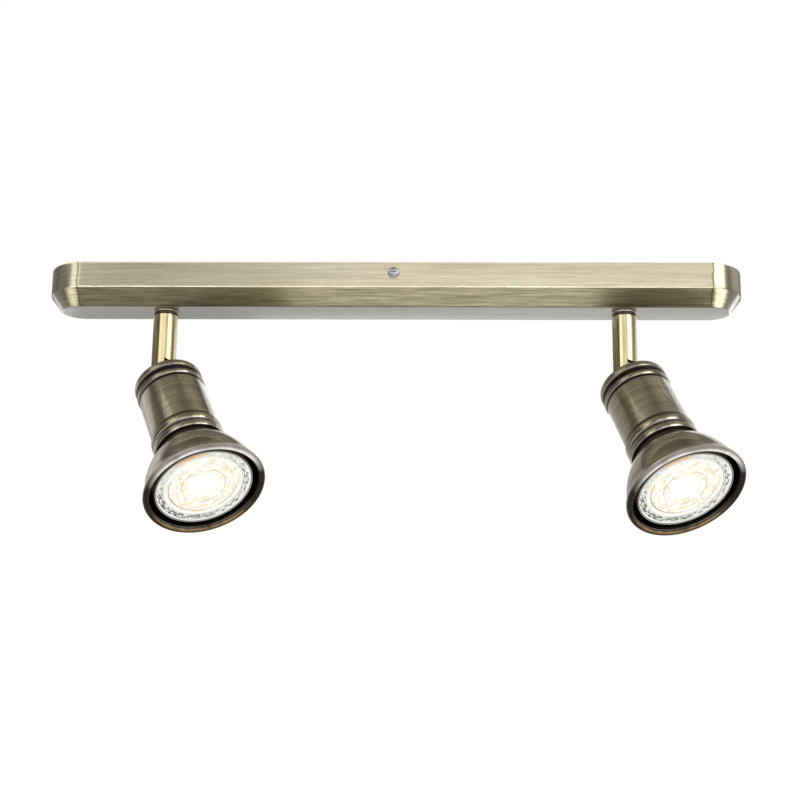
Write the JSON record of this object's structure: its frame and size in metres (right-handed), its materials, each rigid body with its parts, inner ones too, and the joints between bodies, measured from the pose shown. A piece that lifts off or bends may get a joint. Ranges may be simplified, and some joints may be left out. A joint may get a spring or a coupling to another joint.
{
  "type": "adjustable spotlight bar",
  "caption": "Spotlight bar: a long shallow cover with short round arms, each carrying a swivelling and tilting bell-shaped head with a twist-in reflector lamp.",
  "frame": {"origin": "middle of the mounting face, where the bar lies against the ceiling or wall", "axes": "+X along the bar, +Z out of the mounting face towards the ceiling or wall, -Y the side the heads face"},
  "size_m": [0.362, 0.085, 0.1438],
  "materials": {
    "cover_brass": "brushed antique brass plating with lengthwise grain under clear lacquer",
    "arm_brass": "bright golden brass plating, drawn tube",
    "head_bronze": "dark antique brass, brushed round and lacquered glossy",
    "zinc_steel": "zinc-plated steel",
    "plain_brass": "turned brass, unfinished",
    "dark_nylon": "dark brown nylon friction ring",
    "white_plastic": "white moulded polyamide",
    "brown_lead": "insulated leads, brown and blue, satin",
    "earth_lead": "insulated earth lead, green and yellow, satin",
    "glass_sleeve": "braided glass-fibre sleeve",
    "ceramic": "unglazed steatite",
    "contact_bronze": "phosphor bronze strip",
    "lamp_body": "moulded glass reflector body",
    "lamp_lens": "clear moulded lens",
    "lamp_board": "white circuit board with a yellow emitter"
  },
  "bodies": {
    "root": {"bar_cover": "cover_brass", "mounting_bracket": "zinc_steel", "cover_screws": "zinc_steel", "terminal_block": "white_plastic", "terminal_screws": "plain_brass", "block_screw": "zinc_steel", "earth_screw": "plain_brass", "earth_lead": "earth_lead", "bar_leads_left": "brown_lead", "bar_leads_right": "brown_lead", "swivel_collar_left": "arm_brass", "swivel_collar_right": "arm_brass"},
    "arm_left": {"friction_ring_left": "dark_nylon", "swivel_nipple_left": "plain_brass", "stop_washer_left": "zinc_steel", "swivel_nut_left": "plain_brass", "arm_tube_left": "arm_brass", "arm_fork_left": "arm_brass", "tilt_screw_left": "zinc_steel", "tilt_nut_left": "zinc_steel", "arm_leads_left": "brown_lead", "lead_sleeve_left": "glass_sleeve"},
    "head_left": {"tilt_tongue_left": "zinc_steel", "tongue_nut_left": "zinc_steel", "head_barrel_left": "head_bronze", "bell_shade_left": "head_bronze", "holder_bracket_left": "zinc_steel", "holder_screws_left": "zinc_steel", "lampholder_left": "ceramic", "holder_contacts_left": "contact_bronze", "head_leads_left": "brown_lead"},
    "lamp_left": {"lamp_shell_left": "lamp_body", "lamp_lens_left": "lamp_lens", "lamp_board_left": "lamp_board", "lamp_pins_left": "zinc_steel"},
    "arm_right": {"friction_ring_right": "dark_nylon", "swivel_nipple_right": "plain_brass", "stop_washer_right": "zinc_steel", "swivel_nut_right": "plain_brass", "arm_tube_right": "arm_brass", "arm_fork_right": "arm_brass", "tilt_screw_right": "zinc_steel", "tilt_nut_right": "zinc_steel", "arm_leads_right": "brown_lead", "lead_sleeve_right": "glass_sleeve"},
    "head_right": {"tilt_tongue_right": "zinc_steel", "tongue_nut_right": "zinc_steel", "head_barrel_right": "head_bronze", "bell_shade_right": "head_bronze", "holder_bracket_right": "zinc_steel", "holder_screws_right": "zinc_steel", "lampholder_right": "ceramic", "holder_contacts_right": "contact_bronze", "head_leads_right": "brown_lead"},
    "lamp_right": {"lamp_shell_right": "lamp_body", "lamp_lens_right": "lamp_lens", "lamp_board_right": "lamp_board", "lamp_pins_right": "zinc_steel"}
  },
  "joints": [
    {"name": "swivel_left", "type": "hinge", "parent": "root", "child": "arm_left", "pos_m": [-0.12, 0, -0.022], "axis": [0, 0, 1], "range_deg": [-204.6, 125.4]},
    {"name": "tilt_left", "type": "hinge", "parent": "arm_left", "child": "head_left", "pos_m": [-0.12, 0, -0.0538], "axis": [-0.7705, -0.6374, 0], "range_deg": [-31.8, 58.2], "deforming": ["lead_sleeve_left"]},
    {"name": "lamp_twist_left", "type": "hinge", "parent": "head_left", "child": "lamp_left", "pos_m": [-0.12, 0, -0.0538], "axis": [0.3359, -0.406, -0.8499], "range_deg": [0, 40]},
    {"name": "swivel_right", "type": "hinge", "parent": "root", "child": "arm_right", "pos_m": [0.12, 0, -0.022], "axis": [0, 0, 1], "range_deg": [-199.5, 130.5]},
    {"name": "tilt_right", "type": "hinge", "parent": "arm_right", "child": "head_right", "pos_m": [0.12, 0, -0.0538], "axis": [-0.8241, -0.5664, 0], "range_deg": [-31.2, 58.8], "deforming": ["lead_sleeve_right"]},
    {"name": "lamp_twist_right", "type": "hinge", "parent": "head_right", "child": "lamp_right", "pos_m": [0.12, 0, -0.0538], "axis": [0.2934, -0.4269, -0.8554], "range_deg": [0, 40]}
  ]
}
